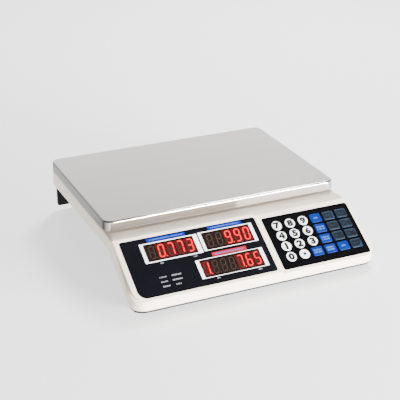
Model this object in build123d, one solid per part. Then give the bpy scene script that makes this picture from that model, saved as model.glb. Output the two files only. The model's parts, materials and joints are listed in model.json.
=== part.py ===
from build123d import *
from math import cos, sin, tan, radians, degrees, atan2
import os

os.makedirs("parts", exist_ok=True)

# Retail price scale: a stainless weighing pan on a single-point load cell, a sloped console
# with three LED windows and 24 keys at the front, and a second display facing the customer.
# Millimetres. X is to the right of the seller, Y is towards the customer, Z is up.
# The origin is on the counter, under the middle of the scale.

# ---------------------------------------------------------------- driving dimensions
TOTAL_H = 84.0                  # counter to the top of the pan
WALL = 2.5                      # moulded wall thickness

# housing
HOUSING_W = 352.0               # width at the front
HOUSING_W_DECK = 339.0          # width where the console meets the deck
HOUSING_W_REAR = 336.0          # width at the back, where it is narrower than the pan
DECK_Y = -80.0                  # where the sides change from the console's taper to the deck's
FRONT_Y, REAR_Y = -177.0, 177.0
DECK_Z = 68.0                   # top of the housing under the pan
BREAK_Y = -94.0                 # where the deck turns down into the console
SLOPE = 31.0                    # console slope, degrees
FACE_LEN = 95.0                 # length of the sloped face
LIP_Z = 9.5                     # lower edge at the front
SKIRT_FRONT_Y = -168.0          # where the lower edge starts up towards the back
SKIRT_BEND_Y, SKIRT_Z = -71.0, 50.5     # where it stops rising
SKIRT_REAR_Z = 45.0             # lower edge at the back
R_FRONT, R_REAR = 20.0, 12.0    # corners in plan
EDGE_R = 3.0                    # rounding of the upper edges
COVER_SCREWS = [(x, y) for x in (-155, 155) for y in (150, 45, -62)]
COLUMN_HOLE = (17, 77, 24, 78)  # hole in the deck for the carrier's column: x from, to, y from, to

# console: x across, v down the slope from the break line, n out of the face
DISPLAY_X, DISPLAY_V = (-163.6, 27.6), (3.3, 89.2)
PAD_RISE = 2.0                  # the display end of the console stands proud by this much
PAD_X = 33.0                    # right end of that raised part
PAD_LEFT = 171.2                # and how far its left end is from the middle
PAD_OVER = 3.6                  # how far it reaches up past the break line
KEYPAD_X, KEYPAD_V = (37.4, 168.0), (7.3, 90.3)
PANEL_N = (-1.2, -0.2)          # keypad panel, back and front
KEY_X0, KEY_PITCH_X = 54.9, 19.7
KEY_V0, KEY_PITCH_V = 22.5, 16.8
KEY_ROUND = 13.9                # diameter of the round keys
KEY_BOX = (16.0, 13.2)          # width and height of the square ones
KEY_TOP = 0.5                   # key tops above the face
KEY_TRAVEL = 0.5
CONTACT_H = 0.4                 # height of the contacts on the keypad board
KEY_GAP = 0.3                   # gap between key and panel
BOARD_N = -8.4                  # front of the display board
KEY_BOARD_N = -9.0              # front of the keypad board
BOARD_T = 1.6                   # thickness of the circuit boards
BOARD_SCREWS_DISPLAY = [(x, v) for x in (-163.4, 30.8) for v in (22, 60)]
BOARD_SCREWS_KEYPAD = [(x, v) for x in (38.2, 165.0) for v in (22, 60)]
FRONT_MODULES = [(-100.0, 26.0, 73.0), (-18.9, 25.6, 73.0), (-28.2, 64.7, 89.5)]    # middle x, v and width

# pan, carrier and load cell
PAN_W, PAN_D = 340.0, 236.0
PAN_LIP = 13.0                  # height of the turned-down lip
PAN_T = 1.0                     # sheet thickness
PAN_Y = 51.0                    # middle of the pan
PAN_CORNER = 12.0
PAD_PLACES = [(sx * 152.0, PAN_Y + sy * 101.0) for sx in (-1, 1) for sy in (-1, 1)]
PAD_T = 3.0
SPIDER_Z = (DECK_Z + 4.0, DECK_Z + 9.0)
BOSS_TOP = TOTAL_H - PAN_T - PAD_T
SPIDER_BOLTS = [(41.0, PAN_Y), (56.0, PAN_Y)]
CELL_BOLTS = [(-41.0, PAN_Y), (-56.0, PAN_Y)]
CELL_L, CELL_W, CELL_H = 130.0, 30.0, 22.0
CELL_Z = 31.0                   # underside of the load cell
PLATE_Z, PLATE_T = 12.0, 3.0    # underside and thickness of the plate that holds it
PLATE_BOLTS = [(x, y) for x in (-88, 88) for y in (PAN_Y - 25, PAN_Y + 25)]

# base
BASE_Z = 6.0                    # underside of the base pan
BASE_SIDE = 128.0               # half width of the base under the skirts
FLOOR_T = 2.5
EDGE_END_Y = -152.0             # back end of the edge that closes the front under the lip
REAR_PANEL_X = 161.5            # half width of the rear panel
REAR_PANEL_Y = (168.0, 172.3, 177.0)    # end of the tub, back of the plate, its outer face
REAR_WINDOW = (-118, 118, 11.5, 44.5)   # x from, x to, z from, z to
REAR_BOARD_SCREWS = [(x, z) for x in (-112, 112) for z in (16, 40)]
FOOT_FRONT, FOOT_REAR = (150.0, -150.0), (112.0, 138.0)
STUD_D, STUD_TOP = 8.0, 17.0    # levelling screw's stud, and its upper end

# electrics in the tub
MAIN_X, MAIN_Y = (22, 112), (-62, -2)
MAIN_Z = 16.0                   # underside of the main board
MAIN_SCREWS = [(x, y) for x in (MAIN_X[0] + 4, MAIN_X[1] - 4) for y in (MAIN_Y[0] + 4, MAIN_Y[1] - 4)]
CONNECTOR = 6.0                 # height of the plug-in connectors
BATTERY_X, BATTERY_Y, BATTERY_H = (-114, -14), (-65, -18), 47.0
TERMINALS, TERMINAL_Z = (-52.0, -31.0), 42.0
HATCH_X = (BATTERY_X[0] - 2.5, BATTERY_X[1] + 2.5)
HATCH_Y = (BATTERY_Y[0] - 2.5, BATTERY_Y[1] + 2.5)
SWITCH_Y, SWITCH_Z = 30.0, 29.0
SWITCH_HOLE = (22.0, 12.0)
ROCKER_X = BASE_SIDE - 3.0      # axis of the rocker's pivot
ROCKER_THROW = 9.0              # degrees each side of level
INLET_Y, INLET_Z, INLET_D = 70.0, 29.0, 11.0
CELL_CABLE = [(-65.3, 51, 42), (-79, 51, 41), (-90, 41, 34), (-91, 25, 25), (-80, 9, 20), (-60, -2, 17),
              (-36, -6, 16), (-12, -9, 17), (7, -17, 20), (22.1, -19.5, 20.6)]
BATTERY_WIRES = [
    [(-14.3, -31, 42), (-5, -31, 41.5), (2, -33, 36), (7, -36, 28), (13, -38, 22), (22.3, -38.5, 20.5)],
    [(-14.3, -52, 42), (-5, -52, 41.5), (2, -50, 36), (7, -47, 28), (13, -44.5, 22), (22.3, -43.5, 20.5)],
]

# ---------------------------------------------------------------- helpers
def slab(x, y, z):
    """Box from its lowest to its highest coordinate along each axis."""
    box = Box(x[1] - x[0], y[1] - y[0], z[1] - z[0])
    return Pos((x[0] + x[1]) / 2, (y[0] + y[1]) / 2, (z[0] + z[1]) / 2) * box


def rod(x, y, z, d):
    """Upright cylinder from z[0] to z[1]."""
    return Pos(x, y, (z[0] + z[1]) / 2) * Cylinder(d / 2, z[1] - z[0])


def rod_along(axis, centre, length, d):
    """Cylinder lying along X or Y."""
    turn = Rot(0, 90, 0) if axis == "x" else Rot(90, 0, 0)
    return Pos(*centre) * turn * Cylinder(d / 2, length)


def rounded(x, y, z, r_front, r_rear):
    """Upright block with its front and rear corners rounded in plan."""
    plan = Rectangle(x[1] - x[0], y[1] - y[0])
    plan = fillet(plan.vertices().group_by(Axis.Y)[0], r_front)
    plan = fillet(plan.vertices().sort_by(Axis.Y)[-2:], r_rear)
    return Pos((x[0] + x[1]) / 2, (y[0] + y[1]) / 2, z[0]) * extrude(plan, z[1] - z[0])


def side_prism(points, x):
    """Outline in the YZ plane, carried from x[0] to x[1]."""
    face = Plane.YZ.offset(x[0]) * Polygon(*points, align=None)
    return extrude(face, x[1] - x[0], dir=(1, 0, 0))


def plan_prism(points, z):
    """Outline in the XY plane, carried from z[0] to z[1]."""
    return Pos(0, 0, z[0]) * extrude(Polygon(*points, align=None), z[1] - z[0], dir=(0, 0, 1))


def inset(point, a, b, t):
    """Corner of a side outline moved in by t; a and b are its faces' angles from level."""
    mid, half = radians(a + b) / 2, radians(b - a) / 2
    return (point[0] + t * sin(mid) / cos(half), point[1] - t * cos(mid) / cos(half))


def joined(shapes):
    """Separate solids kept side by side in one node."""
    return Compound(children=[s.solid() if hasattr(s, "solid") else s for s in shapes])


def save(name, shape):
    export_step(shape, f"parts/{name}.step")


# ---------------------------------------------------------------- console geometry
FACE = Plane(
    origin=(0, BREAK_Y, DECK_Z),
    x_dir=(1, 0, 0),
    z_dir=(0, -sin(radians(SLOPE)), cos(radians(SLOPE))),
).location


def on_face(v, n=0.0):
    """Y and Z of the point v down the slope and n above it."""
    a = radians(SLOPE)
    return (BREAK_Y - v * cos(a) - n * sin(a), DECK_Z - v * sin(a) + n * cos(a))


def face_slab(x, v, n, r=None, r_low_left=None):
    """Plate lying along the console face, with rounded corners."""
    w, h = x[1] - x[0], v[1] - v[0]
    plan = Rectangle(w, h)
    if r:
        corners = plan.vertices()
        low_left = corners.sort_by(Axis.X)[:2].sort_by(Axis.Y)[0]
        others = [c for c in corners if (c.center() - low_left.center()).length > 0.01]
        spot = low_left.center()
        plan = fillet(others, r)
        left = min(plan.vertices(), key=lambda c: (c.center() - spot).length)
        plan = fillet(left, r_low_left or r)
    plate = extrude(plan, n[1] - n[0])
    return FACE * (Pos((x[0] + x[1]) / 2, -(v[0] + v[1]) / 2, n[0]) * plate)


FACE_END = on_face(FACE_LEN)
FRONT_END = (FRONT_Y, LIP_Z)
FRONT_TILT = 90.0 - degrees(atan2(FACE_END[0] - FRONT_Y, FACE_END[1] - LIP_Z))


def housing_plan(grow, z):
    """Upright block of the housing's plan, grown by grow: it narrows from the console back."""
    half, deck, rear = (w / 2 + grow for w in (HOUSING_W, HOUSING_W_DECK, HOUSING_W_REAR))
    plan = make_face(Polyline((-half, FRONT_Y - grow), (half, FRONT_Y - grow), (deck, DECK_Y),
                              (rear, REAR_Y + grow), (-rear, REAR_Y + grow), (-deck, DECK_Y), close=True))
    plan = fillet(plan.vertices().group_by(Axis.Y)[0], R_FRONT + grow)
    plan = fillet(plan.vertices().group_by(Axis.Y)[-1], R_REAR + grow)
    return Pos(0, 0, z[0]) * extrude(plan, z[1] - z[0], dir=(0, 0, 1))


# ---------------------------------------------------------------- housing
SKIRT_LINE = [(SKIRT_FRONT_Y, LIP_Z), (SKIRT_BEND_Y, SKIRT_Z), (REAR_Y + 1, SKIRT_REAR_Z)]


def skirt_z(y):
    """Height of the housing's lower edge at y."""
    if y <= SKIRT_FRONT_Y:
        return LIP_Z
    first, last = SKIRT_LINE[:2] if y < SKIRT_BEND_Y else SKIRT_LINE[1:]
    return first[1] + (last[1] - first[1]) * (y - first[0]) / (last[0] - first[0])


def upper_housing():
    half = HOUSING_W / 2
    outline = [(REAR_Y + 1, DECK_Z), (BREAK_Y, DECK_Z), FACE_END, FRONT_END] + SKIRT_LINE
    body = housing_plan(0, (0, TOTAL_H)) & side_prism(outline, (-half - 1, half + 1))
    top_edges = [e for e in body.edges()
                 if e.center().Z > FACE_END[1] - 0.5 and not on_skirt(e.center()) and not upright(e)]
    body = fillet(top_edges, EDGE_R)
    body += display_pad()
    body -= housing_cavity()
    body -= face_slab((DISPLAY_X[0] - 0.3, DISPLAY_X[1] + 0.3), (DISPLAY_V[0] - 0.3, DISPLAY_V[1] + 0.3),
                      (-0.3, 6), 3.3, 12.3)
    body -= face_slab((DISPLAY_X[0] + 5, DISPLAY_X[1] - 5), (DISPLAY_V[0] + 5, DISPLAY_V[1] - 5),
                      (-8, 1), 3, 9)
    body -= face_slab((KEYPAD_X[0] - 0.3, KEYPAD_X[1] + 0.3), (KEYPAD_V[0] - 0.3, KEYPAD_V[1] + 0.3),
                      (-1.2, 6), 3.3)
    body -= face_slab((KEYPAD_X[0] + 3.6, KEYPAD_X[1] - 3.6), (KEYPAD_V[0] + 3.6, KEYPAD_V[1] - 3.6),
                      (-8, 1), 2)
    x0, x1, y0, y1 = COLUMN_HOLE
    rim = slab((x0 - 2, x1 + 2), (y0 - 2, y1 + 2), (DECK_Z - WALL, DECK_Z + 2))
    body += fillet(rim.edges().filter_by(Axis.Z), 6)
    hole = slab((x0, x1), (y0, y1), (DECK_Z - 6, DECK_Z + 4))
    body -= fillet(hole.edges().filter_by(Axis.Z), 4)
    for x, y in COVER_SCREWS:
        foot = under_z(y) + WALL + 0.1
        body += rod(x, y, (foot, DECK_Z - 1), 8)
        body -= rod(x, y, (foot - 1, foot + 9), 3.2)
    for x, v in BOARD_SCREWS_DISPLAY + BOARD_SCREWS_KEYPAD:
        depth = BOARD_N if x < PAD_X else KEY_BOARD_N
        body += FACE * Pos(x, -v, (depth - 1.5) / 2) * Cylinder(2.6, -1.5 - depth)
        body -= FACE * Pos(x, -v, depth + 2.5) * Cylinder(1.1, 5)
    return body


def upright(edge):
    box = edge.bounding_box().size
    return box.X < 0.01 and box.Y < 0.01


def on_skirt(p):
    """True on the lower edge of the housing."""
    return p.Z < skirt_z(p.Y) + 1.5


def display_pad():
    """Raised end of the console that frames the display window."""
    top = on_face(-PAD_OVER, PAD_RISE)
    outline = [top, inset(FACE_END, SLOPE, FRONT_TILT, -PAD_RISE), (FRONT_Y + 0.4, LIP_Z + 3),
               (FRONT_Y + 2, LIP_Z + 3), on_face(FACE_LEN - 6, -1.8), on_face(4, -1.5),
               (top[0], DECK_Z - 1.5)]
    pad = side_prism(outline, (-HOUSING_W / 2, PAD_X))
    corner = [e for e in pad.edges() if upright(e) and e.center().X > 0]
    pad = fillet(corner, 6)
    pad = pad & rounded((-PAD_LEFT, PAD_LEFT), (FRONT_Y + 1.6, 0), (0, TOTAL_H), R_FRONT - 3, 1)
    rim = [e for e in pad.edges() if above_face(e) > PAD_RISE - 0.05]
    return fillet(rim, 1.5)


def above_face(edge):
    """Least distance of an edge's ends and middle above the console plane."""
    a = radians(SLOPE)
    points = [edge @ 0, edge @ 0.5, edge @ 1]
    return min((DECK_Z - p.Z) * -cos(a) + (BREAK_Y - p.Y) * sin(a) for p in points)


def housing_cavity():
    inner_break = inset((BREAK_Y, DECK_Z), 0, SLOPE, WALL)
    inner_front = inset(FACE_END, SLOPE, FRONT_TILT, WALL)
    drop = inner_front[1] + 5
    foot = (inner_front[0] - drop * tan(radians(90 - FRONT_TILT)), -5)
    outline = [(REAR_Y + 1, DECK_Z - WALL), inner_break, inner_front, foot, (REAR_Y + 1, -5)]
    half = HOUSING_W / 2
    return housing_plan(-WALL, (-6, TOTAL_H)) & side_prism(outline, (-half, half))


# ---------------------------------------------------------------- base
def hull_outline(t):
    """Plan of the tub, moved in by t."""
    s = BASE_SIDE - t
    front = FRONT_Y + 4.6 + t
    wide = HOUSING_W / 2 - 5 - t
    half = [(wide - 14, front), (wide, front + 14), (s, SKIRT_BEND_Y - 4 + t / 2), (s, REAR_PANEL_Y[0])]
    return half + [(-x, y) for x, y in half[::-1]]


def under_z(y):
    """Underside of the base's flange, which closes the housing just inside its skirts."""
    lowest = LIP_Z - 1.7
    rise = (SKIRT_Z + 1.5 - lowest) / (SKIRT_BEND_Y - FRONT_Y - 5)
    return skirt_z(y) + 1.5 if y > SKIRT_BEND_Y else lowest + rise * (y - FRONT_Y - 5)


def base_pan():
    across = (-HOUSING_W / 2, HOUSING_W / 2)
    under = [(y, under_z(y)) for y in (FRONT_Y + 5, SKIRT_BEND_Y, REAR_PANEL_Y[0])]
    over = [(y, z + WALL) for y, z in under]
    flange = side_prism(under + over[::-1], across) & housing_plan(-WALL - 0.3, (0, TOTAL_H))
    below = [(y, z + 1) for y, z in under]
    tub = side_prism([(FRONT_Y, 0), (REAR_PANEL_Y[0], 0)] + below[::-1] + [(FRONT_Y, below[0][1])], across)
    tub = tub & plan_prism(hull_outline(0), (BASE_Z, TOTAL_H))
    edge = [(FRONT_Y, LIP_Z), (SKIRT_FRONT_Y, LIP_Z), (EDGE_END_Y, skirt_z(EDGE_END_Y))]
    edge += [(y, z - LIP_Z + BASE_Z) for y, z in edge[::-1]]
    edge = side_prism(edge, across) & housing_plan(-1.5, (0, TOTAL_H))
    body = flange + tub + edge
    body -= plan_prism(hull_outline(WALL), (BASE_Z + FLOOR_T, TOTAL_H))
    body -= slab((-BASE_SIDE + WALL, BASE_SIDE - WALL), (100, 200), (BASE_Z + FLOOR_T, TOTAL_H))
    for x, y in COVER_SCREWS:
        level = under_z(y)
        body -= rod(x, y, (level - 1, level + 6), 3.4)
        body -= rod(x, y, (level - 1, level + 1.2), 6.4)
    for x, y in PLATE_BOLTS:
        body += rod(x, y, (BASE_Z, PLATE_Z), 14)
        body -= rod(x, y, (BASE_Z + 1, PLATE_Z + 1), 6.2)
    for x, y in MAIN_SCREWS:
        body += rod(x, y, (BASE_Z + 1, MAIN_Z), 7)
        body -= rod(x, y, (MAIN_Z - 7, MAIN_Z + 1), 2.2)
    for x, y in foot_places():
        body += rod(x, y, (BASE_Z, STUD_TOP - 1), 18)
        body -= rod(x, y, (0, 40), STUD_D + 0.1)
    body = body_with_hatch(body)
    body -= slab((100, 140), centred(SWITCH_Y, SWITCH_HOLE[0]), centred(SWITCH_Z, SWITCH_HOLE[1]))
    body -= rod_along("x", (BASE_SIDE, INLET_Y, INLET_Z), 30, INLET_D)
    return body


def centred(middle, size):
    return (middle - size / 2, middle + size / 2)


def foot_places():
    return [(s * x, y) for x, y in (FOOT_FRONT, FOOT_REAR) for s in (-1, 1)]


def body_with_hatch(body):
    """Battery well: an opening with a ledge, and a low wall round the battery."""
    wall = slab((HATCH_X[0] - 0.5, HATCH_X[1] + 0.5), (HATCH_Y[0] - 0.5, HATCH_Y[1] + 0.5),
                (BASE_Z + 1, BASE_Z + 20))
    well = slab((BATTERY_X[0] - 0.5, BATTERY_X[1] + 0.5), (BATTERY_Y[0] - 0.5, BATTERY_Y[1] + 0.5),
                (BASE_Z - 1, BASE_Z + 30))
    rebate = slab((HATCH_X[0] - 0.3, HATCH_X[1] + 0.3), (HATCH_Y[0] - 0.3, HATCH_Y[1] + 0.3),
                  (BASE_Z - 1, BASE_Z + 1.3))
    return body + wall - well - rebate


def battery_hatch():
    plate = slab(HATCH_X, HATCH_Y, (BASE_Z, BASE_Z + 1.2))
    plate = fillet(plate.edges().filter_by(Axis.Z), 1.5)
    inner = slab((BATTERY_X[0], BATTERY_X[1]), (BATTERY_Y[0], BATTERY_Y[1]), (BASE_Z + 1.2, BASE_Z + 2.6))
    ribs = [slab((x, x + 2), (HATCH_Y[0] + 4, HATCH_Y[0] + 14), (BASE_Z - 0.6, BASE_Z))
            for x in range(-76, -52, 5)]
    plate += inner
    for rib in ribs:
        plate += rib
    return plate


def rear_panel():
    """Black plate that closes the back of the tub and carries the customer's window."""
    x0, x1, z0, z1 = REAR_WINDOW
    y0, y1, y2 = REAR_PANEL_Y
    plate = slab((-REAR_PANEL_X, REAR_PANEL_X), (y1, y2), (BASE_Z + 1, SKIRT_REAR_Z - 0.4))
    plate = fillet(plate.edges().filter_by(Axis.Y), 3)
    plate = fillet(plate.faces().sort_by(Axis.Y)[-1].edges(), 1)
    body = plate + slab((-BASE_SIDE, BASE_SIDE), (y0, y1), (BASE_Z, SKIRT_REAR_Z - 0.5))
    body -= slab((x0 - 0.2, x1 + 0.2), (y2 - 2.2, y2 + 1), (z0 - 0.2, z1 + 0.2))
    body -= slab((x0 + 4, x1 - 4), (y0 - 1, y2), (z0 + 3, z1 - 3))
    for x, z in REAR_BOARD_SCREWS:
        body += rod_along("y", (x, y0 - 2.5, z), 5, 6)
        body -= rod_along("y", (x, y0 - 3, z), 6, 2.2)
    return body


# ---------------------------------------------------------------- displays and keys
def display_window():
    return face_slab(DISPLAY_X, DISPLAY_V, (-0.3, 1.7), 3, 12)


def led_module(width, height, depth):
    """Block of seven-segment digits, with its back rim stepped in."""
    block = Box(width, height, depth)
    step = Box(width + 1, height + 1, 1.6) - Box(width - 3, height - 3, 1.6)
    return block - Pos(0, 0, -depth / 2) * step


def digit_modules():
    depth = -0.4 - BOARD_N
    return joined([FACE * Pos(x, -v, BOARD_N + depth / 2) * led_module(w, 29, depth)
                   for x, v, w in FRONT_MODULES])


def display_board():
    board = face_slab((-166.6, 33.7), (10, 78), (BOARD_N - BOARD_T, BOARD_N), 2)
    for x, v in BOARD_SCREWS_DISPLAY:
        board -= FACE * Pos(x, -v, BOARD_N - 0.8) * Cylinder(1.4, 4)
    for i in range(5):
        board += face_slab((-120 + 26 * i, -108 + 26 * i), (42, 50), (BOARD_N - 3.2, BOARD_N - 1.5))
    return board + face_slab((-150, -128), (56, 63), (BOARD_N - 6, BOARD_N - 1.5))


def key_layout():
    """Name, place, and shape of each key: the digits are round and the rest are oblong."""
    rows = [["7", "8", "9", "clear", "m1", "m2"], ["4", "5", "6", "tare", "m3", "m4"],
            ["1", "2", "3", "zero", "m5", "m6"], ["0", "point", "add", "change", "accumulate", "m7"]]
    keys = []
    for r, row in enumerate(rows):
        for c, name in enumerate(row):
            round_key = name.isdigit() or name == "point"
            keys.append((name, KEY_X0 + KEY_PITCH_X * c, KEY_V0 + KEY_PITCH_V * r, round_key))
    return keys


def key_plate(x, v, n, round_key, grow):
    """Key outline, grown by grow all round, between two heights above the face."""
    if round_key:
        return FACE * Pos(x, -v, (n[0] + n[1]) / 2) * Cylinder(KEY_ROUND / 2 + grow, n[1] - n[0])
    w, h = KEY_BOX[0] / 2 + grow, KEY_BOX[1] / 2 + grow
    return face_slab((x - w, x + w), (v - h, v + h), n, 1.5 + max(grow, 0))


def key(x, v, round_key):
    cap = key_plate(x, v, (PANEL_N[0] - 1.2, KEY_TOP), round_key, 0)
    rim = [e for e in cap.edges() if above_face(e) > KEY_TOP - 0.05]
    cap = fillet(rim, 0.35)
    flange = key_plate(x, v, (PANEL_N[0] - 1.2, PANEL_N[0] - 0.2), round_key, 0.5)
    stem_top, stem_end = PANEL_N[0] - 1.1, KEY_BOARD_N + CONTACT_H + KEY_TRAVEL + 0.1
    stem = FACE * Pos(x, -v, (stem_top + stem_end) / 2) * Cylinder(2.5, stem_top - stem_end)
    return cap + flange + stem


def keypad_panel():
    panel = face_slab(KEYPAD_X, KEYPAD_V, PANEL_N, 3)
    for _, x, v, round_key in key_layout():
        panel -= key_plate(x, v, (-3, 1), round_key, KEY_GAP)
    return panel


def keypad_board():
    board = face_slab((35.4, 167.8), (12, 80), (KEY_BOARD_N - BOARD_T, KEY_BOARD_N), 2)
    for x, v in BOARD_SCREWS_KEYPAD:
        board -= FACE * Pos(x, -v, KEY_BOARD_N - 0.8) * Cylinder(1.4, 4)
    for _, x, v, _ in key_layout():
        board += FACE * Pos(x, -v, KEY_BOARD_N + CONTACT_H / 2) * Cylinder(3, CONTACT_H)
    return board


def rear_window():
    x0, x1, z0, z1 = REAR_WINDOW
    window = slab((x0, x1), (REAR_PANEL_Y[2] - 2.2, REAR_PANEL_Y[2]), (z0, z1))
    return fillet(window.edges().filter_by(Axis.Y), 2)


def rear_display_module():
    """Customer's display: a board with three blocks of digits."""
    y0 = REAR_PANEL_Y[0]
    board = slab((-116, 116), (y0 - 6.6, y0 - 5), (13, 43))
    for x, z in REAR_BOARD_SCREWS:
        board -= rod_along("y", (x, y0 - 6, z), 6, 2.6)
    for x, w in ((-72, 66), (0, 66), (72, 66)):
        board += slab((x - w / 2, x + w / 2), (y0 - 5.1, REAR_PANEL_Y[2] - 2.5), (15, 41))
    return board


# ---------------------------------------------------------------- weighing parts
def pan():
    x, y = PAN_W / 2, PAN_D / 2
    outer = rounded((-x, x), (PAN_Y - y, PAN_Y + y), (TOTAL_H - PAN_LIP, TOTAL_H), PAN_CORNER, PAN_CORNER)
    outer = fillet(outer.faces().sort_by(Axis.Z)[-1].edges(), 2.4)
    x, y = x - PAN_T, y - PAN_T
    inner = rounded((-x, x), (PAN_Y - y, PAN_Y + y), (TOTAL_H - PAN_LIP - 1, TOTAL_H - PAN_T),
                    PAN_CORNER - PAN_T, PAN_CORNER - PAN_T)
    inner = fillet(inner.faces().sort_by(Axis.Z)[-1].edges(), 1.4)
    return outer - inner


def load_spider():
    """Cast carrier: four ribbed arms above the deck and a column down to the load cell."""
    z0, z1 = SPIDER_Z
    body = slab((-34, 68), (PAN_Y - 20, PAN_Y + 20), (z0, z1))
    body = fillet(body.edges().filter_by(Axis.Z), 8)
    for x, y in PAD_PLACES:
        dx, dy = x, y - PAN_Y
        length = (dx * dx + dy * dy) ** 0.5
        turn = degrees(atan2(dy, dx))
        arm = Pos(length / 2, 0, (z0 + z1) / 2) * Box(length, 18, z1 - z0)
        rib = Pos(length / 2 + 12, 0, z1 + 1.2) * Box(length - 24, 4, 2.6)
        body += Pos(0, PAN_Y, 0) * Rot(0, 0, turn) * (arm + rib)
        body += rod(x, y, (z0, BOSS_TOP), 31)
    cell_top = CELL_Z + CELL_H
    body += slab((31, 66), (PAN_Y - 15, PAN_Y + 15), (cell_top, z1))
    for x, y in SPIDER_BOLTS:
        body -= rod(x, y, (cell_top - 1, z1 + 1), 6.4)
        body -= rod(x, y, (z1 - 6.5, z1 + 1), 11)
    for x, y in PAD_PLACES:
        body -= rod(x, y, (BOSS_TOP - 6, BOSS_TOP + 1), 6.2)
    return body


def pan_pads():
    return joined([rod(x, y, (BOSS_TOP, BOSS_TOP + PAD_T), 20) + rod(x, y, (BOSS_TOP - 5.8, BOSS_TOP), 6)
                   for x, y in PAD_PLACES])


def cap_screw(x, y, head_z, length, up=False):
    """M6 socket screw; head_z is where the head meets the shank."""
    s = -1 if up else 1
    head = rod(x, y, sorted((head_z, head_z + s * 5.8)), 9.8)
    shank = rod(x, y, sorted((head_z, head_z - s * length)), 6)
    socket = rod(x, y, sorted((head_z + s * 3, head_z + s * 6)), 5)
    return head + shank - socket


def spider_bolts():
    return joined([cap_screw(x, y, SPIDER_Z[1] - 6.5, SPIDER_Z[1] - 6.5 - (CELL_Z + CELL_H - 11))
                   for x, y in SPIDER_BOLTS])


def load_cell():
    half = CELL_L / 2
    body = slab((-half, half), (PAN_Y - CELL_W / 2, PAN_Y + CELL_W / 2), (CELL_Z, CELL_Z + CELL_H))
    mid = CELL_Z + CELL_H / 2
    for x in (-13, 13):
        body -= rod_along("y", (x, PAN_Y, mid), CELL_W + 2, 16)
    body -= slab((-13, 13), (PAN_Y - 20, PAN_Y + 20), (mid - 2, mid + 2))
    for x, y in SPIDER_BOLTS:
        body -= rod(x, y, (CELL_Z + CELL_H - 12, CELL_Z + CELL_H + 1), 6.1)
    for x, y in CELL_BOLTS:
        body -= rod(x, y, (CELL_Z - 1, CELL_Z + 12), 6.1)
    return body


def base_plate():
    """Cast plate on the floor of the tub, with a block that lifts the load cell's fixed end."""
    top = PLATE_Z + PLATE_T
    body = slab((-100, 100), (PAN_Y - 35, PAN_Y + 35), (PLATE_Z, top))
    body = fillet(body.edges().filter_by(Axis.Z), 10)
    body += slab((-65, -32), (PAN_Y - 15, PAN_Y + 15), (PLATE_Z, CELL_Z))
    for y in (PAN_Y - 33, PAN_Y + 30):
        body += slab((-76, 76), (y, y + 3), (top - 0.5, top + 7))
    for x, y in PLATE_BOLTS:
        body -= rod(x, y, (PLATE_Z - 1, top + 1), 6.4)
    for x, y in CELL_BOLTS:
        body -= rod(x, y, (PLATE_Z - 1, CELL_Z + 1), 6.4)
        body -= rod(x, y, (PLATE_Z - 1, PLATE_Z + 6), 11)
    body -= rod(50, PAN_Y, (PLATE_Z - 1, top + 1), 8)
    return body


def frame_bolts():
    """Four screws hold the base plate down and two hold the load cell's fixed end."""
    bolts = [cap_screw(x, y, PLATE_Z + PLATE_T, PLATE_T + 4.5) for x, y in PLATE_BOLTS]
    bolts += [cap_screw(x, y, PLATE_Z + 6, CELL_Z - PLATE_Z - 6 + 11, up=True) for x, y in CELL_BOLTS]
    return joined(bolts)


def overload_stop():
    """Screw and lock nut under the free end, which stop the cell before it is overbent."""
    top = PLATE_Z + PLATE_T
    nut = extrude(RegularPolygon(7.5, 6), 5)
    return rod(50, PAN_Y, (PLATE_Z - 1.5, CELL_Z - 0.8), 8) + Pos(50, PAN_Y, top) * nut


# ---------------------------------------------------------------- electrics in the tub
def main_board():
    board = slab(MAIN_X, MAIN_Y, (MAIN_Z, MAIN_Z + 1.6))
    board = fillet(board.edges().filter_by(Axis.Z), 2)
    for x, y in MAIN_SCREWS:
        board -= rod(x, y, (MAIN_Z - 1, MAIN_Z + 3), 3)
    top = MAIN_Z + 1.5
    board += slab((52, 66), (-40, -26), (top, top + 2.2))
    board += slab((74, 92), (-50, -38), (top, top + 3.2))
    board += slab((22.5, 32), (-24, -14), (top, top + CONNECTOR))
    board += slab((22.5, 32), (-46, -36), (top, top + CONNECTOR))
    board += slab((60, 90), (-9, -3), (top, top + CONNECTOR))
    for i in range(3):
        board += rod(74 + 11 * i, -20, (top, top + 12), 8)
    board += rod(42, -50, (top, top + 7), 12)
    return board


def battery():
    """Sealed lead-acid block, with two blade terminals on its end."""
    x1 = BATTERY_X[1] - 6
    z0 = BASE_Z + 2.6
    body = slab((BATTERY_X[0], x1), BATTERY_Y, (z0, z0 + BATTERY_H))
    body = fillet(body.edges(), 1.2)
    for y in TERMINALS:
        body += slab((x1 - 1, x1 + 5.5), (y - 2.4, y + 2.4), (TERMINAL_Z - 0.4, TERMINAL_Z + 0.4))
    return body


def power_switch_frame():
    """Snap-in frame of the rocker switch, with its contact block behind."""
    y, z = SWITCH_Y, SWITCH_Z
    w, h = SWITCH_HOLE
    bezel = slab((BASE_SIDE, BASE_SIDE + 2), centred(y, w + 3.5), centred(z, h + 3.5))
    bezel = fillet(bezel.edges().filter_by(Axis.X), 1.5)
    body = bezel + slab((BASE_SIDE - 19, BASE_SIDE + 0.5), centred(y, w - 0.3), centred(z, h - 0.3))
    body -= slab((BASE_SIDE - 9, BASE_SIDE + 3), centred(y, w - 3), centred(z, h - 3))
    body -= Pos(ROCKER_X, y, z) * Cylinder(1.3, h - 0.8)
    for dy in (-5, 5):
        body += slab((BASE_SIDE - 26, BASE_SIDE - 18), (y + dy - 0.4, y + dy + 0.4), centred(z, 4.8))
    return body


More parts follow.
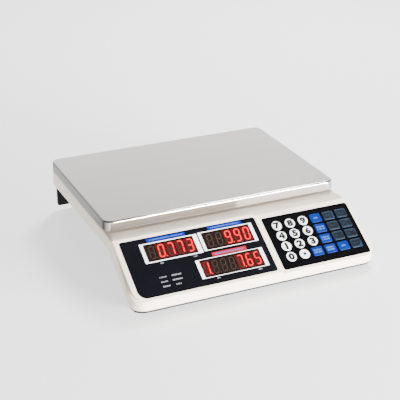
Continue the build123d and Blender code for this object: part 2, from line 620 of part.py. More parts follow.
def power_switch_rocker():
    """Rocker pressed to its on side; its pivot pins run up and down."""
    w, h = SWITCH_HOLE[0] - 4.4, SWITCH_HOLE[1] - 3.6
    outline = Polygon((4.6, -w / 2), (2.4, 0), (4.6, w / 2), (-1.8, w / 2 - 1.2), (-4.2, 0),
                      (-1.8, -w / 2 + 1.2), align=None)
    body = Pos(0, 0, -h / 2) * extrude(outline, h)
    body += Cylinder(1.2, SWITCH_HOLE[1] - 1.4)
    return Pos(ROCKER_X, SWITCH_Y, SWITCH_Z) * Rot(0, 0, -ROCKER_THROW) * body


def power_inlet():
    """Round charging socket with its flange outside and its nut inside the wall."""
    x, y, z = BASE_SIDE, INLET_Y, INLET_Z
    body = rod_along("x", (x + 0.75, y, z), 1.5, 14)
    body += rod_along("x", (x - 8, y, z), 18, INLET_D - 0.2)
    body += Pos(x - WALL - 2.5, y, z) * Rot(0, 90, 0) * extrude(RegularPolygon(8.5, 6), 2.5)
    body -= rod_along("x", (x - 3, y, z), 12, 6.2)
    body += rod_along("x", (x - 6, y, z), 10, 2)
    for dz in (-2.5, 2.5):
        body += slab((x - 22, x - 16), (y - 1.5, y + 1.5), (z + dz - 0.3, z + dz + 0.3))
    return body


def case_screws():
    """Self-tapping screws: six for the housing, the rest for the boards and the hatch."""
    screws = []
    for x, y in COVER_SCREWS:
        level = under_z(y)
        screws.append(rod(x, y, (level - 0.9, level + 1.2), 6) + rod(x, y, (level, level + 10), 3))
    for x, y in MAIN_SCREWS:
        top = MAIN_Z + 1.6
        screws.append(rod(x, y, (top, top + 1.8), 5) + rod(x, y, (top - 8, top), 2.1))
    for places, depth in ((BOARD_SCREWS_DISPLAY, BOARD_N), (BOARD_SCREWS_KEYPAD, KEY_BOARD_N)):
        for x, v in places:
            screw = Pos(0, 0, -2.5) * Cylinder(2.4, 1.8) + Pos(0, 0, 0.7) * Cylinder(1.05, 6.2)
            screws.append(FACE * Pos(x, -v, depth) * screw)
    back = REAR_PANEL_Y[0] - 6.6
    for x, z in REAR_BOARD_SCREWS:
        screws.append(rod_along("y", (x, back - 0.9, z), 1.8, 4.6)
                      + rod_along("y", (x, back + 2.6, z), 5.4, 2.1))
    return joined(screws)


# ---------------------------------------------------------------- leads
def corner_radii(points):
    """As large a bend at each corner as its two runs allow."""
    radii = []
    for a, b, c in zip(points, points[1:], points[2:]):
        run_in, run_out = Vector(b) - Vector(a), Vector(c) - Vector(b)
        turn = radians(run_in.get_angle(run_out))
        radii.append(0.45 * min(run_in.length, run_out.length) / tan(turn / 2))
    return radii


def lead(points, d, label):
    radii = corner_radii(points)
    print(label, "bend radii", [round(r, 1) for r in radii])
    path = FilletPolyline(*points, radius=radii)
    start = Plane(origin=path @ 0, z_dir=path % 0)
    return sweep(start * Circle(d / 2), path=path)


def foot_pad(x, y):
    """Rubber pad with a socket for the end of the levelling screw."""
    pad = rod(x, y, (0, 3), 24)
    pad = fillet(pad.faces().sort_by(Axis.Z)[-1].edges(), 0.8)
    return pad - rod(x, y, (1.45, 4), 10.2)


def foot_screw(x, y):
    """Levelling screw with a thumb wheel and a ball-shaped end turned flat."""
    wheel = rod(x, y, (3.3, 5.6), 21)
    wheel = fillet(wheel.edges(), 0.5)
    return rod(x, y, (1.5, 3.6), 10) + wheel + rod(x, y, (5, STUD_TOP), STUD_D)


# ---------------------------------------------------------------- write the nodes
save("base_pan", base_pan())
save("upper_housing", upper_housing())
save("rear_panel", rear_panel())
save("rear_window", rear_window())
save("rear_display_module", rear_display_module())
save("display_window", display_window())
save("digit_modules", digit_modules())
save("display_board", display_board())
save("keypad_panel", keypad_panel())
save("keypad_board", keypad_board())
for key_name, key_x, key_v, key_is_round in key_layout():
    save("key_" + key_name, key(key_x, key_v, key_is_round))
save("platter", pan())
save("platter_pads", pan_pads())
save("load_spider", load_spider())
save("spider_bolts", spider_bolts())
save("load_cell", load_cell())
save("base_plate", base_plate())
save("frame_bolts", frame_bolts())
save("overload_stop", overload_stop())
save("main_board", main_board())
save("battery", battery())
save("battery_hatch", battery_hatch())
save("power_switch_frame", power_switch_frame())
save("power_switch_rocker", power_switch_rocker())
save("power_inlet", power_inlet())
save("case_screws", case_screws())
save("load_cell_cable", lead(CELL_CABLE, 4.0, "load cell cable"))
save("battery_leads", joined([lead(route, 2.2, "battery wire") for route in BATTERY_WIRES]))
FEET = ("front_left", "front_right", "rear_left", "rear_right")
for foot_name, (foot_x, foot_y) in zip(FEET, foot_places()):
    save("foot_pad_" + foot_name, foot_pad(foot_x, foot_y))
    save("foot_screw_" + foot_name, foot_screw(foot_x, foot_y))
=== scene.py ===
import json
import math
import random

import bmesh
import bpy
from mathutils import Matrix, Vector


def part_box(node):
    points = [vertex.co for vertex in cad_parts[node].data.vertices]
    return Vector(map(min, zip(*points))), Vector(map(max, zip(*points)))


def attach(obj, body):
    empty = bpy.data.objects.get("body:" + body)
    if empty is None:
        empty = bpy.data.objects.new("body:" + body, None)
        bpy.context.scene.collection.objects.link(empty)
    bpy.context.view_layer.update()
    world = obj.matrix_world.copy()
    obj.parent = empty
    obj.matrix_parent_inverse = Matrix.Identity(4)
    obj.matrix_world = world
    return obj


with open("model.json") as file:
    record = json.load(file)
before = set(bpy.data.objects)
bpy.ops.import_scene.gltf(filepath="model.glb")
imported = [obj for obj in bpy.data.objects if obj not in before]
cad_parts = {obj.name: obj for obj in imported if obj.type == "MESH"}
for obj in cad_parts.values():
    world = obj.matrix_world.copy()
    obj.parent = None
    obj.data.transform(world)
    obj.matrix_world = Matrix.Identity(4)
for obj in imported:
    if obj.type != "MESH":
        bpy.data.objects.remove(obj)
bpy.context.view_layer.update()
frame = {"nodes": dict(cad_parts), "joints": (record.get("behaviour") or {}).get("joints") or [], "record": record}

# Looks of the retail price scale. The CAD nodes keep their shapes and get procedural
# materials; the printed marks, the LED digits and the window frames are pieces of their own.
# Everything is in metres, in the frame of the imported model.

NODES = frame["nodes"]
MM = 0.001
PRINT_T = 0.06 * MM            # thickness of a printed mark
PLASTIC_IOR = 1.5
COAT_ROUGH = 0.08


# ---------------------------------------------------------------- materials
def node(tree, kind, **values):
    """New node with its inputs, or its settings where no input has that name."""
    made = tree.nodes.new(kind)
    for key, value in values.items():
        if key in made.inputs:
            made.inputs[key].default_value = value
        else:
            setattr(made, key, value)
    return made


def noise(tree, coords, scale, detail=3.0, stretch=(1, 1, 1)):
    """Noise value over the object's own coordinates, stretched along its axes."""
    mapping = node(tree, "ShaderNodeMapping")
    mapping.inputs["Scale"].default_value = stretch
    tree.links.new(coords, mapping.inputs["Vector"])
    made = node(tree, "ShaderNodeTexNoise", Scale=scale, Detail=detail)
    tree.links.new(mapping.outputs["Vector"], made.inputs["Vector"])
    return made.outputs["Fac"]


def spread(tree, value, low, high, start=0.3, end=0.7):
    """The value's range from start to end, spread over low to high."""
    made = node(tree, "ShaderNodeMapRange")
    for name, number in (("From Min", start), ("From Max", end), ("To Min", low), ("To Max", high)):
        made.inputs[name].default_value = number
    tree.links.new(value, made.inputs["Value"])
    return made.outputs["Result"]


def surface(name, colour, rough, metallic=0.0, mottle=0.05, blotch=22.0, grain=1500.0, bump=0.15,
            stretch=(1, 1, 1), rough_play=0.05, coat=0.0, gloss=0.5, dust=0.0, glow=0.0, glow_colour=None,
            depth=0.02, painted_side_reflection=1.0):
    """Procedural finish: uneven colour, with fine grain in the bump and in the roughness.

    Dust lightens the sharp edges, the side-reflection amount paints a dark reflection onto the faces
    that look left and right, and depth is the height of the grain in millimetres.
    """
    material = bpy.data.materials.new(name)
    material.use_nodes = True
    tree = material.node_tree
    shader = tree.nodes["Principled BSDF"]
    coords = node(tree, "ShaderNodeTexCoord").outputs["Object"]
    shader.inputs["Metallic"].default_value = metallic
    shader.inputs["IOR"].default_value = PLASTIC_IOR
    shader.inputs["Coat Weight"].default_value = coat
    shader.inputs["Coat Roughness"].default_value = COAT_ROUGH
    shader.inputs["Specular IOR Level"].default_value = gloss

    blotches = spread(tree, noise(tree, coords, blotch, 4.0, stretch), 1 - mottle, 1 + mottle)
    tint = node(tree, "ShaderNodeMix", data_type="RGBA", blend_type="MULTIPLY")
    tint.inputs["Factor"].default_value = 1.0
    tint.inputs["A"].default_value = (*colour, 1)
    tree.links.new(blotches, tint.inputs["B"])
    base = tint.outputs["Result"]
    if dust:
        ridge = node(tree, "ShaderNodeNewGeometry").outputs["Pointiness"]
        worn = spread(tree, ridge, 0.0, dust, 0.52, 0.60)
        lighter = node(tree, "ShaderNodeMix", data_type="RGBA", blend_type="MIX")
        lighter.inputs["B"].default_value = tuple(min(1.0, c * 1.25 + 0.03) for c in colour) + (1,)
        tree.links.new(base, lighter.inputs["A"])
        tree.links.new(worn, lighter.inputs["Factor"])
        base = lighter.outputs["Result"]
    # Painted reflection: faces turned left or right get a dark tint in their colour, standing in for the dark
    # studio they would mirror.
    if painted_side_reflection < 1.0:
        split = node(tree, "ShaderNodeSeparateXYZ")
        tree.links.new(node(tree, "ShaderNodeNewGeometry").outputs["Normal"], split.inputs["Vector"])
        across = node(tree, "ShaderNodeMath", operation="ABSOLUTE")
        tree.links.new(split.outputs["X"], across.inputs[0])
        darker = node(tree, "ShaderNodeMix", data_type="RGBA", blend_type="MULTIPLY")
        darker.inputs["Factor"].default_value = 1.0
        tree.links.new(base, darker.inputs["A"])
        tree.links.new(spread(tree, across.outputs["Value"], 1.0, painted_side_reflection, 0.3, 0.95), darker.inputs["B"])
        base = darker.outputs["Result"]
    tree.links.new(base, shader.inputs["Base Color"])

    grains = noise(tree, coords, grain, 2.0, stretch)
    tree.links.new(spread(tree, grains, rough - rough_play, rough + rough_play), shader.inputs["Roughness"])
    relief = node(tree, "ShaderNodeBump", Strength=bump, Distance=depth * MM)
    tree.links.new(grains, relief.inputs["Height"])
    tree.links.new(relief.outputs["Normal"], shader.inputs["Normal"])
    if glow:
        shader.inputs["Emission Color"].default_value = (*glow_colour, 1)
        shader.inputs["Emission Strength"].default_value = glow
    return material


MATERIALS = {
    "housing_cream": surface("housing_cream", (0.84, 0.72, 0.57), 0.42, mottle=0.02, dust=0.25, coat=0.08),
    "base_plastic": surface("base_plastic", (0.003, 0.003, 0.003), 0.45, mottle=0.25, dust=0.2, gloss=0.35),
    "black_plastic": surface("black_plastic", (0.003, 0.003, 0.0035), 0.38, mottle=0.25, gloss=0.2, bump=0.3),
    "window_smoke": surface("window_smoke", (0.003, 0.003, 0.0045), 0.14, mottle=0.2, grain=700, bump=0.02,
                            gloss=0.3, rough_play=0.03),
    "led_module": surface("led_module", (0.03, 0.006, 0.005), 0.35, mottle=0.3),
    "circuit_board": surface("circuit_board", (0.01, 0.07, 0.03), 0.35, mottle=0.35, blotch=160, grain=600),
    "key_white": surface("key_white", (0.88, 0.88, 0.88), 0.38, mottle=0.02, dust=0.15),
    "key_blue": surface("key_blue", (0.001, 0.014, 0.13), 0.36, mottle=0.12, blotch=300, gloss=0.15),
    "key_slate": surface("key_slate", (0.010, 0.020, 0.036), 0.4, mottle=0.12, blotch=300, gloss=0.15),
    # The pan's side lips carry a painted dark reflection in their colour, set by the side-reflection amount below.
    "pan_steel": surface("pan_steel", (0.66, 0.63, 0.61), 0.13, metallic=1.0, mottle=0.05, blotch=9,
                         stretch=(0.03, 1, 1), grain=2600, bump=0.06, depth=0.01, painted_side_reflection=0.03),
    "bolt_steel": surface("bolt_steel", (0.52, 0.52, 0.54), 0.32, metallic=1.0, mottle=0.12, blotch=120,
                          dust=0.3, grain=900),
    "cast_aluminium": surface("cast_aluminium", (0.60, 0.61, 0.63), 0.46, metallic=1.0, mottle=0.12,
                              blotch=90, grain=500, bump=0.5, depth=0.06, dust=0.3),
    "cell_aluminium": surface("cell_aluminium", (0.74, 0.75, 0.77), 0.3, metallic=1.0, mottle=0.05,
                              stretch=(0.05, 1, 1), grain=1800, bump=0.2),
    "plate_steel": surface("plate_steel", (0.08, 0.085, 0.09), 0.5, mottle=0.15, blotch=70, grain=800,
                           bump=0.3, dust=0.3),
    "pad_rubber": surface("pad_rubber", (0.008, 0.008, 0.008), 0.75, mottle=0.3, blotch=180, grain=1200,
                          bump=0.6, gloss=0.3),
    "battery_case": surface("battery_case", (0.02, 0.02, 0.022), 0.45, mottle=0.2, blotch=60, bump=0.4,
                            dust=0.3),
    "cable_grey": surface("cable_grey", (0.08, 0.08, 0.085), 0.6, mottle=0.12, blotch=200, bump=0.3),
    "wire_red": surface("wire_red", (0.25, 0.006, 0.006), 0.42, mottle=0.15, blotch=240, bump=0.2),
    "panel_black": surface("panel_black", (0.0015, 0.0015, 0.002), 0.22, mottle=0.3, blotch=500, grain=1400,
                           bump=0.12, gloss=0.2),
    "print_white": surface("print_white", (0.90, 0.90, 0.91), 0.35, mottle=0.03, blotch=400),
    "print_grey": surface("print_grey", (0.20, 0.21, 0.23), 0.4, mottle=0.1, blotch=500),
    "print_pale": surface("print_pale", (0.045, 0.11, 0.33), 0.4, mottle=0.1, blotch=500),
    "print_blue": surface("print_blue", (0.0015, 0.010, 0.17), 0.3, mottle=0.12, blotch=300, gloss=0.3),
    "print_red": surface("print_red", (0.27, 0.006, 0.012), 0.35, mottle=0.12, blotch=300, gloss=0.3),
    "ink_black": surface("ink_black", (0.002, 0.002, 0.0025), 0.4, mottle=0.2, blotch=900, gloss=0.3),
    "ink_navy": surface("ink_navy", (0.0004, 0.0006, 0.0012), 0.45, mottle=0.2, blotch=900, gloss=0.3),
    "led_field": surface("led_field", (0.009, 0.005, 0.004), 0.2, mottle=0.35, blotch=420, bump=0.05,
                         gloss=0.3),
    # Painted glow: the field round a digit glows faintly red, standing in for the light of its lit segments
    # spreading in the window.
    "led_spill_glow": surface("led_spill_glow", (0.02, 0.0015, 0.0018), 0.25, mottle=0.3, blotch=300, gloss=0.3,
                             glow=0.16, glow_colour=(1.0, 0.02, 0.03)),
    "led_off": surface("led_off", (0.019, 0.012, 0.009), 0.3, mottle=0.25, blotch=500, gloss=0.3),
    "led_on": surface("led_on", (0.25, 0.004, 0.004), 0.3, mottle=0.1, blotch=700, glow=1.5,
                      glow_colour=(1.0, 0.02, 0.03)),
}


def dress():
    """Gives every CAD node the finish of its material slot."""
    for part in frame["record"]["subparts"]:
        shown = NODES[part["node"]]
        finish = MATERIALS[part["material_slot"]]
        if part["node"] == "keypad_panel":
            finish = MATERIALS["panel_black"]
        if not shown.data.materials:
            shown.data.materials.append(finish)
        for index in range(len(shown.data.materials)):
            shown.data.materials[index] = finish


# ---------------------------------------------------------------- pieces in mesh code
def finish_piece(name, mesh, place, body, material):
    """Puts a mesh in its place as a piece of that body."""
    piece = bpy.data.objects.new(name, mesh)
    bpy.context.scene.collection.objects.link(piece)
    mesh.transform(place)
    mesh.materials.append(MATERIALS[material])
    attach(piece, body)


def prisms(name, outlines, thickness, place, body, material):
    """Flat raised shapes in one piece: each outline is a list of points, or (outer, hole)."""
    made = bmesh.new()
    for outline in outlines:
        rings = outline if isinstance(outline, tuple) else (outline,)
        low = [[made.verts.new((x, y, 0.0)) for x, y in ring] for ring in rings]
        high = [[made.verts.new((x, y, thickness)) for x, y in ring] for ring in rings]
        for ring_low, ring_high in zip(low, high):
            count = len(ring_low)
            for i in range(count):
                j = (i + 1) % count
                made.faces.new((ring_low[i], ring_low[j], ring_high[j], ring_high[i]))
        for side in (low, high):
            if len(side) == 1:
                made.faces.new(side[0])
                continue
            count = len(side[0])
            for i in range(count):
                j = (i + 1) % count
                made.faces.new((side[0][i], side[0][j], side[1][j], side[1][i]))
    bmesh.ops.recalc_face_normals(made, faces=made.faces)
    mesh = bpy.data.meshes.new(name)
    made.to_mesh(mesh)
    made.free()
    finish_piece(name, mesh, place, body, material)


def box_outline(x0, x1, y0, y1, radius=0.0, steps=4):
    """Outline of a rectangle, with round corners where a radius is given."""
    if radius <= 0:
        return [(x0, y0), (x1, y0), (x1, y1), (x0, y1)]
    points = []
    for cx, cy, start in ((x1 - radius, y0 + radius, -90), (x1 - radius, y1 - radius, 0),
                          (x0 + radius, y1 - radius, 90), (x0 + radius, y0 + radius, 180)):
        for i in range(steps + 1):
            a = math.radians(start + 90 * i / steps)
            points.append((cx + radius * math.cos(a), cy + radius * math.sin(a)))
    return points


FONT_WIDEN = 1.2               # the keys' numerals are wider than the font's


def legend(name, text, height, weight, place, body, material):
    """Raised numeral, centred on its place. A 9 is a turned 6."""
    curve = bpy.data.curves.new(name, "FONT")
    curve.body = "6" if text == "9" else text
    curve.size = 1.0
    curve.offset = weight
    curve.extrude = 0.5
    curve.resolution_u = 3
    writer = bpy.data.objects.new(name + "_curve", curve)
    bpy.context.scene.collection.objects.link(writer)
    mesh = bpy.data.meshes.new_from_object(writer.evaluated_get(bpy.context.evaluated_depsgraph_get()))
    mesh.name = name
    bpy.data.objects.remove(writer)
    bpy.data.curves.remove(curve)
    xs = [v.co.x for v in mesh.vertices]
    ys = [v.co.y for v in mesh.vertices]
    centre = Vector(((min(xs) + max(xs)) / 2, (min(ys) + max(ys)) / 2, -0.5))
    scale = height / (max(ys) - min(ys))
    mesh.transform(Matrix.Diagonal((scale * FONT_WIDEN, scale, PRINT_T, 1)) @ Matrix.Translation(-centre))
    if text == "9":
        mesh.transform(Matrix.Rotation(math.pi, 4, "Z"))
    finish_piece(name, mesh, place, body, material)


# ---------------------------------------------------------------- the sloped console
PRESS = Vector(next(j["axis"] for j in frame["joints"] if j["name"] == "press_7")).normalized()
SINE, COSINE = abs(PRESS.y), abs(PRESS.z)


class Panel:
    """Plane of a sloped plate: x as in the model, v down the slope from its upper edge."""

    def __init__(self, name):
        low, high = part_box(name)
        tall, deep = high.z - low.z, high.y - low.y
        length = (deep * COSINE - tall * SINE) / (COSINE ** 2 - SINE ** 2)
        self.left = low.x
        self.top_z = high.z
        self.top_y = low.y + length * COSINE

    def place(self, x, v, height=0.0):
        """Matrix of a spot: its x is across, its y up the slope, its z out of the plate."""
        spot = Vector((x, self.top_y - v * COSINE - height * SINE, self.top_z - v * SINE + height * COSINE))
        turn = Matrix(((1, 0, 0), (0, COSINE, -SINE), (0, SINE, COSINE)))
        return Matrix.Translation(spot) @ turn.to_4x4()

    def middle(self, name, height):
        """Place of the middle of a cap whose top is at that height above the plate."""
        low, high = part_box(name)
        upper = (self.top_z + height * COSINE - high.z) / SINE
        lower = (self.top_y - height * SINE - low.y) / COSINE
        return self.place((low.x + high.x) / 2, (upper + lower) / 2, height)


DIGIT_SLANT = 0.09
DIGIT_WIDTH, DIGIT_STROKE = 0.66, 0.155        # of the pitch of the digits
DIGIT_HEIGHT = 0.80                            # of the height of the readout
DIGIT_MARGIN = 0.12                            # from the left end of each pitch
SEGMENTS = {"0": "abcdef", "1": "bc", "3": "abcdg", "5": "acdfg", "6": "acdefg", "7": "abc", "9": "abcdfg",
            " ": ""}


def segment_outline(letter, w, h, t):
    """Outline of one of the seven segments of a digit w wide and h tall, slanted."""
    gap = t * 0.10
    half = h / 2
    long_x = (t / 2 + gap, w - t / 2 - gap)

    def bar(y):
        x0, x1 = long_x
        return [(x0, y), (x0 + t / 2, y - t / 2), (x1 - t / 2, y - t / 2), (x1, y), (x1 - t / 2, y + t / 2),
                (x0 + t / 2, y + t / 2)]

    def post(x, y0, y1):
        y0, y1 = y0 + gap, y1 - gap
        return [(x, y0), (x + t / 2, y0 + t / 2), (x + t / 2, y1 - t / 2), (x, y1), (x - t / 2, y1 - t / 2),
                (x - t / 2, y0 + t / 2)]

    low, high = t / 2, h - t / 2
    shapes = {"a": lambda: bar(high), "d": lambda: bar(low), "g": lambda: bar(half),
              "b": lambda: post(w - t / 2, half, high), "c": lambda: post(w - t / 2, low, half),
              "e": lambda: post(t / 2, low, half), "f": lambda: post(t / 2, half, high)}
    return [(x + DIGIT_SLANT * y, y) for x, y in shapes[letter]()]


def readout(name, text, points, area, place_of, body):
    """Row of seven-segment digits in an area (x0, x1, v0, v1); points are the lit decimal points."""
    x0, x1, v0, v1 = area
    pitch = (x1 - x0) / len(text)
    w, h, t = pitch * DIGIT_WIDTH, (v1 - v0) * DIGIT_HEIGHT, pitch * DIGIT_STROKE
    base_v = v1 - (v1 - v0 - h) / 2
    lit, unlit, spill_glows = [], [], []
    for i, symbol in enumerate(text):
        shift = x0 + pitch * (i + DIGIT_MARGIN)
        for letter in "abcdefg":
            outline = [(shift + x, y) for x, y in segment_outline(letter, w, h, t)]
            (lit if letter in SEGMENTS[symbol] else unlit).append(outline)
        dot = box_outline(shift + w + t * 0.25, shift + w + t * 1.15, 0, t * 0.9, t * 0.4)
        (lit if i in points else unlit).append(dot)
        # Behind each digit that is not blank goes a field with a painted red glow of the segments' light.
        if symbol != " ":
            left, edge = x0 + pitch * i, pitch * 0.04
            spill_glows.append(box_outline(left + edge, left + pitch - edge, -h * 0.05, h * 1.05, pitch * 0.12))
    spot = place_of(0.0, base_v)
    lift = Matrix.Translation((0, 0, PRINT_T))
    prisms(name + "_spill_glow", spill_glows, PRINT_T, spot @ lift, body, "led_spill_glow")
    prisms(name + "_unlit", unlit, PRINT_T, spot @ lift @ lift, body, "led_off")
    prisms(name + "_lit", lit, PRINT_T * 2, spot @ lift @ lift, body, "led_on")


def window(name, outer, inner, text, points, digits, place_of, body):
    """One readout window: its dark field, its white frame and its digits. Areas are x0, x1, v0, v1."""
    def flat(area, radius=0.0):
        return box_outline(area[0], area[1], -area[3], -area[2], radius)

    spot = place_of(0.0, 0.0)
    prisms(name + "_field", [flat(inner)], PRINT_T, spot, body, "led_field")
    prisms(name + "_frame", [(flat(outer, 0.5 * MM), flat(inner, 0.4 * MM))], PRINT_T * 2, spot, body,
           "print_white")
    readout(name, text, points, digits, place_of, body)


def marks(seed, area, rows, height):
    """Small bars that stand in for printed letters, in rows over an area x0, x1, v0, v1."""
    draw = random.Random(seed)
    x0, x1, v0, v1 = area
    bars = []
    for row in range(rows):
        v = v0 + (v1 - v0) * (row + 0.5) / rows
        x = x0
        while x < x1:
            end = min(x + draw.uniform(0.35, 0.6) * height, x1)
            bars.append(box_outline(x, end, -v - height / 2, -v + height / 2))
            x = end + height * draw.choice((0.22, 0.22, 0.3, 0.6))
    return bars


# The printing on the console's window. Areas are x0, x1, v0, v1 in millimetres, from its left upper corner.
CONSOLE_WINDOWS = (            # name, frame's outer and inner edge, text, lit decimal points, digits
    ("weight_window", (24.6, 104.2, 8.2, 37.7), (29.1, 98.1, 9.7, 36.1), " 0773", (1,),
     (31.0, 97.0, 10.6, 35.2)),
    ("price_window", (106.2, 183.8, 7.5, 36.5), (110.2, 179.2, 8.7, 35.7), "  990", (2,),
     (112.2, 178.2, 9.8, 34.8)),
    ("total_window", (88.0, 183.1, 47.4, 75.7), (92.7, 178.1, 48.2, 74.9), "1   765", (0, 4),
     (93.2, 177.0, 49.4, 73.8)))
CONSOLE_STRIPS = (("weight_strip", (36.1, 90.1, 1.6, 7.2), "print_blue"),
                  ("price_strip", (122.1, 171.3, 1.0, 6.4), "print_blue"),
                  ("total_strip", (113.6, 162.6, 40.4, 46.2), "print_red"))
STRIP_MARGIN = 4 * MM          # at both ends of a strip's marks
STRIP_LETTER = 2.0 * MM
CONSOLE_WORDS = (              # height of the letters, areas
    (1.9, (34.6, 44.0, 59.2, 62.6)), (1.9, (34.6, 43.4, 66.0, 69.4)), (1.9, (34.6, 44.6, 72.8, 76.2)),
    (2.2, (51.2, 64.0, 59.2, 62.6)), (2.2, (50.2, 63.4, 66.0, 69.4)), (2.2, (52.6, 59.4, 72.8, 76.2)),
    (1.7, (43.0, 47.6, 39.6, 41.8)), (1.7, (89.4, 94.6, 39.6, 41.8)),
    (1.7, (107.6, 112.0, 77.4, 79.6)), (1.7, (166.2, 172.0, 77.4, 79.6)))
WORDS_SEED = 11                # of the first word


def console_display():
    """Three windows with digits, coloured strips over them and small marks for the printed words."""
    panel = Panel("display_window")

    def scaled(area):
        x0, x1, v0, v1 = (value * MM for value in area)
        return (panel.left + x0, panel.left + x1, v0, v1)

    for name, outer, inner, text, points, digits in CONSOLE_WINDOWS:
        window(name, scaled(outer), scaled(inner), text, points, scaled(digits), panel.place, "base")
    spot = panel.place(0.0, 0.0)
    for number, (name, area, ink) in enumerate(CONSOLE_STRIPS):
        x0, x1, v0, v1 = scaled(area)
        prisms(name, [box_outline(x0, x1, -v1, -v0, 0.4 * MM)], PRINT_T, spot, "base", ink)
        letters = marks(number, (x0 + STRIP_MARGIN, x1 - STRIP_MARGIN, v0, v1), 1, STRIP_LETTER)
        prisms(name + "_marks", letters, PRINT_T * 2, spot, "base", "print_pale")
    letters = []
    for seed, (height, area) in enumerate(CONSOLE_WORDS, WORDS_SEED):
        letters += marks(seed, scaled(area), 1, height * MM)
    prisms("small_marks", letters, PRINT_T, spot, "base", "print_grey")


KEY_RISE = 0.7 * MM            # key tops above the keypad panel
NUMERAL_HEIGHT, NUMERAL_WEIGHT = 10.6 * MM, 0.07
POINT_R = 2.2 * MM
BLUE_KEYS = {"clear": 1, "tare": 2, "zero": 2, "add": 2, "change": 2, "accumulate": 1}     # rows of marks
BLUE_HALF_WIDTHS = {1: 3.0 * MM, 2: 5.6 * MM}      # of the marks, by their number of rows
BLUE_HALF_HEIGHT = 3.6 * MM
BLUE_LETTER = 2.4 * MM
BLUE_SEED = 30                 # of the first blue key
SLATE_KEYS = 7
SLATE_HEIGHT, SLATE_WEIGHT = 9.4 * MM, 0.06
SLATE_SHIFT = 4.0 * MM         # of the number, from the key's middle
SLATE_RING = (box_outline(-6.6 * MM, 0.6 * MM, -4.2 * MM, 4.2 * MM, 0.6 * MM),
              box_outline(-4.4 * MM, -1.6 * MM, -2.0 * MM, 2.0 * MM, 0.4 * MM))


def key_marks():
    """Black numerals on the white keys, light marks on the blue ones, a ring and a number on the grey."""
    panel = Panel("keypad_panel")
    for text in "7894561230":
        spot = panel.middle("key_" + text, KEY_RISE)
        legend("legend_" + text, text, NUMERAL_HEIGHT, NUMERAL_WEIGHT, spot, "key_" + text, "ink_black")
    dot = box_outline(-POINT_R, POINT_R, -POINT_R, POINT_R, POINT_R - 0.01 * MM, 6)
    spot = panel.middle("key_point", KEY_RISE)
    prisms("legend_point", [dot], PRINT_T, spot, "key_point", "ink_black")
    for number, (name, rows) in enumerate(BLUE_KEYS.items()):
        spot = panel.middle("key_" + name, KEY_RISE)
        wide = BLUE_HALF_WIDTHS[rows]
        area = (-wide, wide, -BLUE_HALF_HEIGHT, BLUE_HALF_HEIGHT)
        bars = marks(BLUE_SEED + number, area, rows, BLUE_LETTER)
        prisms("legend_" + name, bars, PRINT_T, spot, "key_" + name, "print_pale")
    for number in range(1, SLATE_KEYS + 1):
        name = "m%d" % number
        spot = panel.middle("key_" + name, KEY_RISE)
        prisms("legend_" + name, [SLATE_RING], PRINT_T, spot, "key_" + name, "ink_navy")
        beside = spot @ Matrix.Translation((SLATE_SHIFT, 0, 0))
        legend("number_" + name, str(number), SLATE_HEIGHT, SLATE_WEIGHT, beside, "key_" + name, "ink_navy")


# Name, left and right edge in millimetres as read from behind, text, lit decimal points.
REAR_WINDOWS = (("rear_weight_window", (-108, -38), " 0773", (1,)),
                ("rear_price_window", (-35, 35), "  990", (2,)),
                ("rear_total_window", (38, 108), " 765", (1,)))
REAR_TOP, REAR_BOTTOM = 3.5, 29.5              # of the frames, from the upper edge


def customer_display():
    """Three windows with digits on the back, read from behind."""
    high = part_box("rear_window")[1]

    def place_of(x, v):
        turn = Matrix(((-1, 0, 0), (0, 0, 1), (0, 1, 0)))
        return Matrix.Translation((-x, high.y, high.z - v)) @ turn.to_4x4()

    for name, (x0, x1), text, points in REAR_WINDOWS:
        outer = (x0 * MM, x1 * MM, REAR_TOP * MM, REAR_BOTTOM * MM)
        inner = ((x0 + 2.5) * MM, (x1 - 2.5) * MM, (REAR_TOP + 1) * MM, (REAR_BOTTOM - 1) * MM)
        digits = ((x0 + 5) * MM, (x1 - 4) * MM, (REAR_TOP + 2) * MM, (REAR_BOTTOM - 2) * MM)
        window(name, outer, inner, text, points, digits, place_of, "base")


# ---------------------------------------------------------------- studio
SURROUNDINGS = (               # of the sky's direction: axis, start, end, level at the start and at the end
    ("X", -0.9, 0.4, 0.7, 1.0), ("Y", 0.0, 0.7, 0.45, 1.0), ("Z", 0.34, 0.66, 1.0, 0.14))
SKY_STRENGTH = 2.0
FLOOR_HALF = 6.0
FLOOR_GLOW = 1.3


def floor():
    """Pale floor with a soft glow of its own."""
    made = bmesh.new()
    bmesh.ops.create_grid(made, x_segments=2, y_segments=2, size=FLOOR_HALF)
    mesh = bpy.data.meshes.new("floor")
    made.to_mesh(mesh)
    made.free()
    mesh.materials.append(surface("floor_white", (0.92, 0.92, 0.92), 0.6, mottle=0.01, blotch=2.0, bump=0.02,
                                  glow=FLOOR_GLOW, glow_colour=(1, 1, 1)))
    piece = bpy.data.objects.new("floor", mesh)
    bpy.context.scene.collection.objects.link(piece)


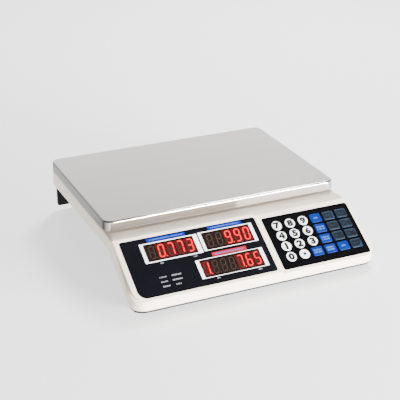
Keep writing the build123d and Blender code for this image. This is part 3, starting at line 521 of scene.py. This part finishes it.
def lamp(name, spot, size, power):
    """Rectangular lamp that looks at the middle of the floor."""
    light = bpy.data.lights.new(name, "AREA")
    light.shape = "RECTANGLE"
    light.size, light.size_y = size
    light.energy = power
    placed = bpy.data.objects.new(name, light)
    placed.location = spot
    placed.rotation_mode = "QUATERNION"
    placed.rotation_quaternion = (-Vector(spot)).to_track_quat("-Z", "Y")
    bpy.context.scene.collection.objects.link(placed)


def studio():
    """Sky brightest behind and on the right, dark overhead; one lamp behind on the right, one in front."""
    world = bpy.data.worlds.new("studio")
    world.use_nodes = True
    tree = world.node_tree
    background = tree.nodes["Background"]
    direction = node(tree, "ShaderNodeTexCoord").outputs["Generated"]
    split = node(tree, "ShaderNodeSeparateXYZ")
    tree.links.new(direction, split.inputs["Vector"])
    levels = [spread(tree, split.outputs[axis], low, high, start, end)
              for axis, start, end, low, high in SURROUNDINGS]
    level = levels[0]
    for part in levels[1:]:
        product = node(tree, "ShaderNodeMath", operation="MULTIPLY")
        tree.links.new(level, product.inputs[0])
        tree.links.new(part, product.inputs[1])
        level = product.outputs["Value"]
    tree.links.new(level, background.inputs["Color"])
    background.inputs["Strength"].default_value = SKY_STRENGTH
    bpy.context.scene.world = world
    lamp("back_light", (0.9, 1.2, 1.5), (0.5, 0.5), 50)
    lamp("front_light", (0.9, -1.8, 0.20), (1.0, 0.3), 300)


CAMERA_TARGET = Vector((-29.3, -51.2, 84.0)) * MM
CAMERA_AZIMUTH, CAMERA_ELEVATION = math.radians(-24.2), math.radians(24.35)
CAMERA_DISTANCE = 1.4661
CAMERA_SENSOR, CAMERA_LENS = 36.0, 98.4


def camera():
    """The photo's camera."""
    azimuth, elevation = CAMERA_AZIMUTH, CAMERA_ELEVATION
    back = Vector((math.sin(azimuth) * math.cos(elevation), -math.cos(azimuth) * math.cos(elevation),
                   math.sin(elevation)))
    data = bpy.data.cameras.new("camera")
    data.sensor_width = CAMERA_SENSOR
    data.lens = CAMERA_LENS
    placed = bpy.data.objects.new("camera", data)
    placed.location = CAMERA_TARGET + back * CAMERA_DISTANCE
    placed.rotation_mode = "QUATERNION"
    placed.rotation_quaternion = (-back).to_track_quat("-Z", "Y")
    bpy.context.scene.collection.objects.link(placed)
    bpy.context.scene.camera = placed


dress()
console_display()
key_marks()
customer_display()
floor()
studio()
camera()
